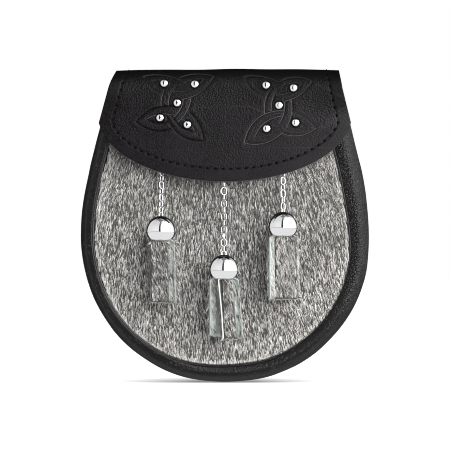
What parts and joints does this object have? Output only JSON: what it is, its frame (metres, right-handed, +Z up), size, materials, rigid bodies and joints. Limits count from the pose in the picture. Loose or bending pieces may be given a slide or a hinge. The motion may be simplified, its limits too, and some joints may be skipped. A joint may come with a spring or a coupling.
{
  "type": "sporran pouch",
  "caption": "Moulded leather waist pouch with a hair-on-hide front, a studded fold-over flap, chain tassels and belt loops behind.",
  "frame": {"origin": "hanging point: on the back panel's outer face, midway between the two belt loops, where the belt or strap runs through", "axes": "+Z up as it hangs, +Y out of the back towards the wearer, so the front faces -Y; +X to the right seen from the front"},
  "size_m": [0.19, 0.0665, 0.206],
  "materials": {
    "leather": "black pebbled leather, semi-matt",
    "fur": "short grey hair on hide",
    "suede": "strips of hair-on hide with pale suede backs",
    "chrome": "polished"
  },
  "bodies": {
    "root": {"back_panel": "leather", "gusset": "leather", "welt": "leather", "flap": "leather", "belt_loop_left": "leather", "belt_loop_right": "leather", "front_panel": "fur", "tassel_left": "suede", "tassel_centre": "suede", "tassel_right": "suede", "flap_snap": "chrome", "stud_left_1": "chrome", "stud_left_2": "chrome", "stud_left_3": "chrome", "stud_left_4": "chrome", "stud_left_5": "chrome", "stud_right_1": "chrome", "stud_right_2": "chrome", "stud_right_3": "chrome", "stud_right_4": "chrome", "stud_right_5": "chrome", "chain_left": "chrome", "chain_centre": "chrome", "chain_right": "chrome", "chain_anchor_left": "chrome", "chain_anchor_centre": "chrome", "chain_anchor_right": "chrome", "bell_left": "chrome", "bell_centre": "chrome", "bell_right": "chrome"}
  },
  "joints": []
}
